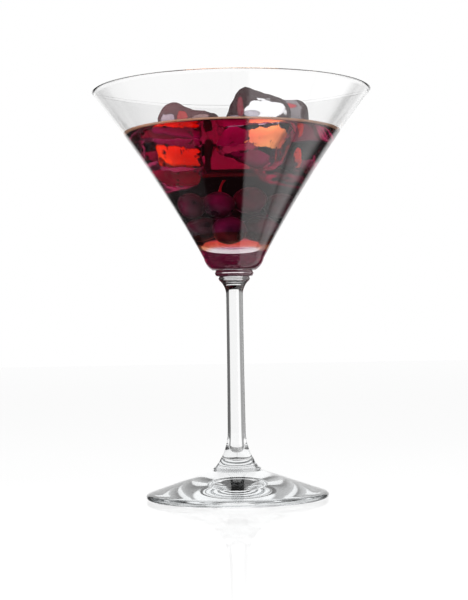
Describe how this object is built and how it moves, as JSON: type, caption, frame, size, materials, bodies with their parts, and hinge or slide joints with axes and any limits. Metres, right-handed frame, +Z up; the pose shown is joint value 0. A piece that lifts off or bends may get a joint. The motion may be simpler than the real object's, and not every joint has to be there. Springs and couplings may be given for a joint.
{
  "type": "iced mixed drink in a stemmed cocktail glass",
  "caption": "Clear stemmed cone cocktail glass holding a dark red mixed drink, with ice blocks standing out of it.",
  "frame": {"origin": "centre of the ring that the foot stands on, at the table", "axes": "+Z up along the stem, -Y towards the side that is seen first, +X to its right"},
  "size_m": [0.118, 0.118, 0.1727],
  "materials": {
    "clear_glass": "clear, polished",
    "red_drink": "clear dark red liquid",
    "clear_ice": "clear, wet, melted smooth",
    "berry_skin": "smooth wet fruit skin",
    "berry_stalk": "thin fruit stalk"
  },
  "bodies": {
    "root": {"glass": "clear_glass", "drink": "red_drink", "ice_left": "clear_ice", "ice_centre": "clear_ice", "ice_right": "clear_ice"}
  },
  "joints": []
}
